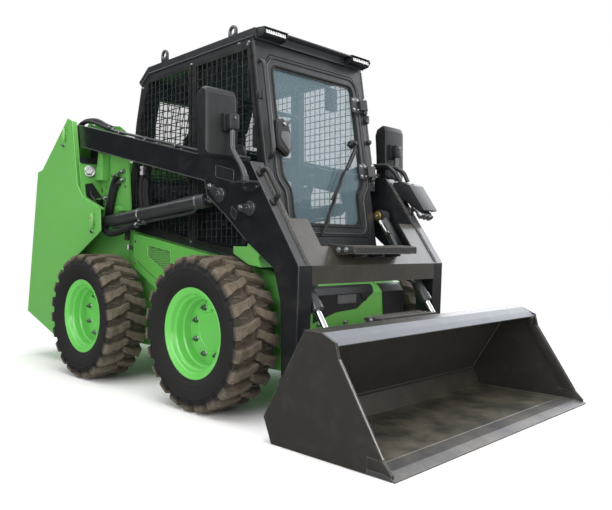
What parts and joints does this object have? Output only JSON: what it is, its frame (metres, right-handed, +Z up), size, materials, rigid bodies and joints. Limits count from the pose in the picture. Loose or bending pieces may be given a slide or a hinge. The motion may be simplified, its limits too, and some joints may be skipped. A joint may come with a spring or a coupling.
{
  "type": "skid steer loader",
  "caption": "Skid steer loader with a mesh-sided cab, a lift arm pivoted on rear towers beside it, and a wide bucket on a quick coupler.",
  "frame": {"origin": "on the ground, under the middle of the overall length and width", "axes": "+X forward to the bucket's cutting edge, +Y to the machine's left, +Z up"},
  "size_m": [3.426, 1.674, 2.005],
  "materials": {
    "chassis_paint": "lime green enamel, satin gloss",
    "rim_paint": "lime green enamel, gloss",
    "arm_paint": "charcoal enamel, satin",
    "bucket_paint": "dark brown-grey enamel, scuffed",
    "cab_paint": "black enamel, satin",
    "cylinder_paint": "black enamel",
    "rod_chrome": "hard chrome, polished",
    "tyre_rubber": "black rubber with a dusty tread",
    "glass": "tinted safety glass",
    "lamp_lens": "clear lens over white diodes",
    "tail_lens": "red lens",
    "seat_vinyl": "black grained vinyl",
    "console_plastic": "dark grey moulded plastic",
    "mirror_plastic": "dark grey moulded plastic",
    "step_steel": "black enamel, worn at the teeth",
    "guard_wire": "black coated wire",
    "axle_iron": "black painted casting",
    "engine_iron": "grey painted casting"
  },
  "bodies": {
    "machine": {"chassis": "chassis_paint", "axle_housings": "axle_iron", "tower_right": "chassis_paint", "tower_left": "chassis_paint", "side_covers": "chassis_paint", "engine": "engine_iron", "cab_frame": "cab_paint", "cab_roof": "cab_paint", "work_lights": "lamp_lens", "cab_glass": "glass", "side_guards": "guard_wire", "seat": "seat_vinyl", "consoles": "console_plastic", "door_hinges": "cab_paint", "arm_rests": "chassis_paint"},
    "hood": {"hood": "chassis_paint"},
    "tailgate": {"tailgate": "chassis_paint", "tail_lamps": "tail_lens"},
    "door": {"door_frame": "cab_paint", "door_glass": "glass", "door_handle": "console_plastic"},
    "lift_arm": {"lift_arm_right": "arm_paint", "lift_arm_left": "arm_paint", "crossmember": "bucket_paint", "arm_step": "step_steel", "mirrors": "mirror_plastic"},
    "bucket": {"coupler": "arm_paint", "bucket": "bucket_paint", "cutting_edge": "bucket_paint", "bucket_step": "step_steel"},
    "wheel_front_right": {"tyre_front_right": "tyre_rubber", "rim_front_right": "rim_paint"},
    "wheel_front_left": {"tyre_front_left": "tyre_rubber", "rim_front_left": "rim_paint"},
    "wheel_rear_right": {"tyre_rear_right": "tyre_rubber", "rim_rear_right": "rim_paint"},
    "wheel_rear_left": {"tyre_rear_left": "tyre_rubber", "rim_rear_left": "rim_paint"},
    "lift_barrel_right": {"lift_barrel_right": "cylinder_paint"},
    "lift_rod_right": {"lift_rod_right": "rod_chrome"},
    "tilt_barrel_right": {"tilt_barrel_right": "cylinder_paint"},
    "tilt_rod_right": {"tilt_rod_right": "rod_chrome"},
    "lift_barrel_left": {"lift_barrel_left": "cylinder_paint"},
    "lift_rod_left": {"lift_rod_left": "rod_chrome"},
    "tilt_barrel_left": {"tilt_barrel_left": "cylinder_paint"},
    "tilt_rod_left": {"tilt_rod_left": "rod_chrome"}
  },
  "joints": [
    {"name": "wheel_front_right_spin", "type": "hinge", "parent": "machine", "child": "wheel_front_right", "pos_m": [0.496, -0.661, 0.378], "axis": [0, 1, 0], "continuous": true},
    {"name": "wheel_front_left_spin", "type": "hinge", "parent": "machine", "child": "wheel_front_left", "pos_m": [0.496, 0.661, 0.378], "axis": [0, 1, 0], "continuous": true},
    {"name": "wheel_rear_right_spin", "type": "hinge", "parent": "machine", "child": "wheel_rear_right", "pos_m": [-0.61, -0.661, 0.378], "axis": [0, 1, 0], "continuous": true},
    {"name": "wheel_rear_left_spin", "type": "hinge", "parent": "machine", "child": "wheel_rear_left", "pos_m": [-0.61, 0.661, 0.378], "axis": [0, 1, 0], "continuous": true},
    {"name": "arm_lift", "type": "hinge", "parent": "machine", "child": "lift_arm", "pos_m": [-1.133, 0, 1.558], "axis": [0, -1, 0], "range_deg": [0, 65]},
    {"name": "bucket_tilt", "type": "hinge", "parent": "lift_arm", "child": "bucket", "pos_m": [0.98, 0, 0.18], "axis": [0, 1, 0], "range_deg": [-25, 103]},
    {"name": "door_swing", "type": "hinge", "parent": "machine", "child": "door", "pos_m": [0.75076, 0.404, 0.8534], "axis": [-0.1418, 0, 0.9899], "range_deg": [0, 80]},
    {"name": "hood_lift", "type": "hinge", "parent": "machine", "child": "hood", "pos_m": [-0.64, 0, 1.33], "axis": [0, 1, 0], "range_deg": [0, 55]},
    {"name": "tailgate_swing", "type": "hinge", "parent": "machine", "child": "tailgate", "pos_m": [-1.713, 0.43, 0.325], "axis": [-0.1599, 0, -0.9871], "range_deg": [0, 100]},
    {"name": "lift_barrel_right_turn", "type": "hinge", "parent": "machine", "child": "lift_barrel_right", "pos_m": [-0.736, -0.544, 0.96], "axis": [0, -1, 0], "range_deg": [0, 64.2]},
    {"name": "lift_rod_right_slide", "type": "slide", "parent": "lift_barrel_right", "child": "lift_rod_right", "axis": [0.9969, 0, 0.0781], "range_m": [0, 0.772]},
    {"name": "tilt_barrel_right_turn", "type": "hinge", "parent": "lift_arm", "child": "tilt_barrel_right", "pos_m": [0.725, -0.45, 0.98], "axis": [0, 1, 0], "range_deg": [-2, 7.4]},
    {"name": "tilt_rod_right_slide", "type": "slide", "parent": "tilt_barrel_right", "child": "tilt_rod_right", "axis": [0.5331, 0, -0.8461], "range_m": [-0.088, 0.356]},
    {"name": "lift_barrel_left_turn", "type": "hinge", "parent": "machine", "child": "lift_barrel_left", "pos_m": [-0.736, 0.544, 0.96], "axis": [0, -1, 0], "range_deg": [0, 64.2]},
    {"name": "lift_rod_left_slide", "type": "slide", "parent": "lift_barrel_left", "child": "lift_rod_left", "axis": [0.9969, 0, 0.0781], "range_m": [0, 0.772]},
    {"name": "tilt_barrel_left_turn", "type": "hinge", "parent": "lift_arm", "child": "tilt_barrel_left", "pos_m": [0.725, 0.45, 0.98], "axis": [0, 1, 0], "range_deg": [-2, 7.4]},
    {"name": "tilt_rod_left_slide", "type": "slide", "parent": "tilt_barrel_left", "child": "tilt_rod_left", "axis": [0.5331, 0, -0.8461], "range_m": [-0.088, 0.356]}
  ],
  "couplings": [
    {"joint": "lift_barrel_right_turn", "follows": "arm_lift", "ratio": 0.97996},
    {"joint": "lift_rod_right_slide", "follows": "arm_lift", "m_per_rad": 0.67917},
    {"joint": "tilt_barrel_right_turn", "follows": "bucket_tilt", "ratio": 0.07},
    {"joint": "tilt_rod_right_slide", "follows": "bucket_tilt", "m_per_rad": 0.19707},
    {"joint": "lift_barrel_left_turn", "follows": "arm_lift", "ratio": 0.97996},
    {"joint": "lift_rod_left_slide", "follows": "arm_lift", "m_per_rad": 0.67917},
    {"joint": "tilt_barrel_left_turn", "follows": "bucket_tilt", "ratio": 0.07},
    {"joint": "tilt_rod_left_slide", "follows": "bucket_tilt", "m_per_rad": 0.19707}
  ]
}
